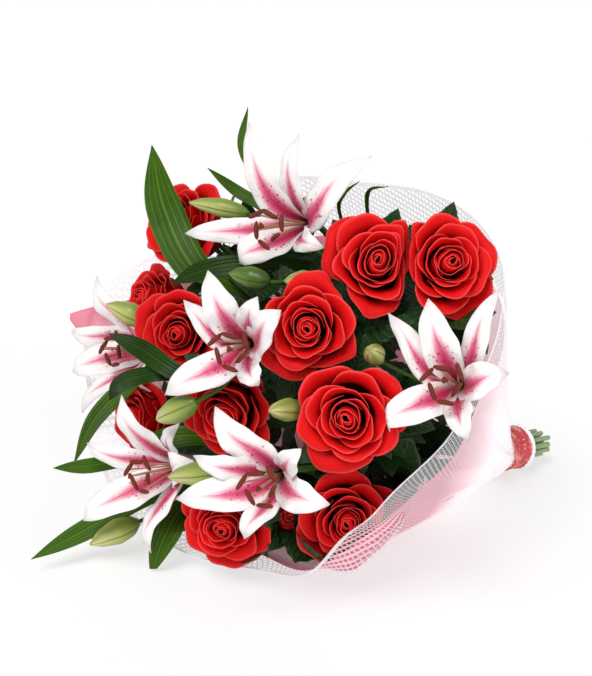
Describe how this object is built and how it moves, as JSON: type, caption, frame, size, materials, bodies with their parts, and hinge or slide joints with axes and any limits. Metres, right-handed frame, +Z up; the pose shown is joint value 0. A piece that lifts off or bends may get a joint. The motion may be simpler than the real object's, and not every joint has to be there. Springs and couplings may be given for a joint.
{
  "type": "mixed flower bouquet",
  "caption": "Hand-tied bouquet of red roses and pink and white lilies with buds and leaves, in a pink sheet and a white net gathered under a red ribbon, lying on its side",
  "frame": {"origin": "middle of the bouquet's box, on the surface that it lies on", "axes": "+Z up, the cut stems point towards +Y and the flowers towards -Y, +X is the side that the pictured face turns to"},
  "size_m": [0.4238, 0.4552, 0.3515],
  "materials": {
    "rose_petals": "velvety fresh petals, bright red with darker folds",
    "rose_greens": "smooth waxy green stems and matte sepals",
    "lily_tepals": "satin white tepals with a pink midrib and a speckled throat",
    "lily_stamens": "pale green filaments with dusty brown anthers",
    "lily_greens": "waxy green stems and leaves with fine lengthwise veins",
    "net_wrap": "sheer white net with a fine square mesh",
    "pink_wrap": "thin translucent pink sheet with soft creases",
    "ribbon": "red satin ribbon, pleated where it is pulled tight",
    "binding_string": "rough twisted natural fibre"
  },
  "bodies": {
    "root": {"rose_1": "rose_petals", "rose_2": "rose_petals", "rose_3": "rose_petals", "rose_4": "rose_petals", "rose_5": "rose_petals", "rose_6": "rose_petals", "rose_7": "rose_petals", "rose_8": "rose_petals", "rose_9": "rose_petals", "rose_10": "rose_petals", "rose_11": "rose_petals", "rose_12": "rose_petals", "rose_stem_1": "rose_greens", "rose_stem_2": "rose_greens", "rose_stem_3": "rose_greens", "rose_stem_4": "rose_greens", "rose_stem_5": "rose_greens", "rose_stem_6": "rose_greens", "rose_stem_7": "rose_greens", "rose_stem_8": "rose_greens", "rose_stem_9": "rose_greens", "rose_stem_10": "rose_greens", "rose_stem_11": "rose_greens", "rose_stem_12": "rose_greens", "lily_1": "lily_tepals", "lily_2": "lily_tepals", "lily_3": "lily_tepals", "lily_4": "lily_tepals", "lily_5": "lily_tepals", "lily_6": "lily_tepals", "lily_stamens_1": "lily_stamens", "lily_stamens_2": "lily_stamens", "lily_stamens_3": "lily_stamens", "lily_stamens_4": "lily_stamens", "lily_stamens_5": "lily_stamens", "lily_stamens_6": "lily_stamens", "lily_stem_1": "lily_greens", "lily_stem_2": "lily_greens", "lily_stem_3": "lily_greens", "lily_stem_4": "lily_greens", "lily_stem_5": "lily_greens", "lily_stem_6": "lily_greens", "wrap_net": "net_wrap", "wrap_pink": "pink_wrap", "stem_string": "binding_string", "ribbon": "ribbon"}
  },
  "joints": []
}
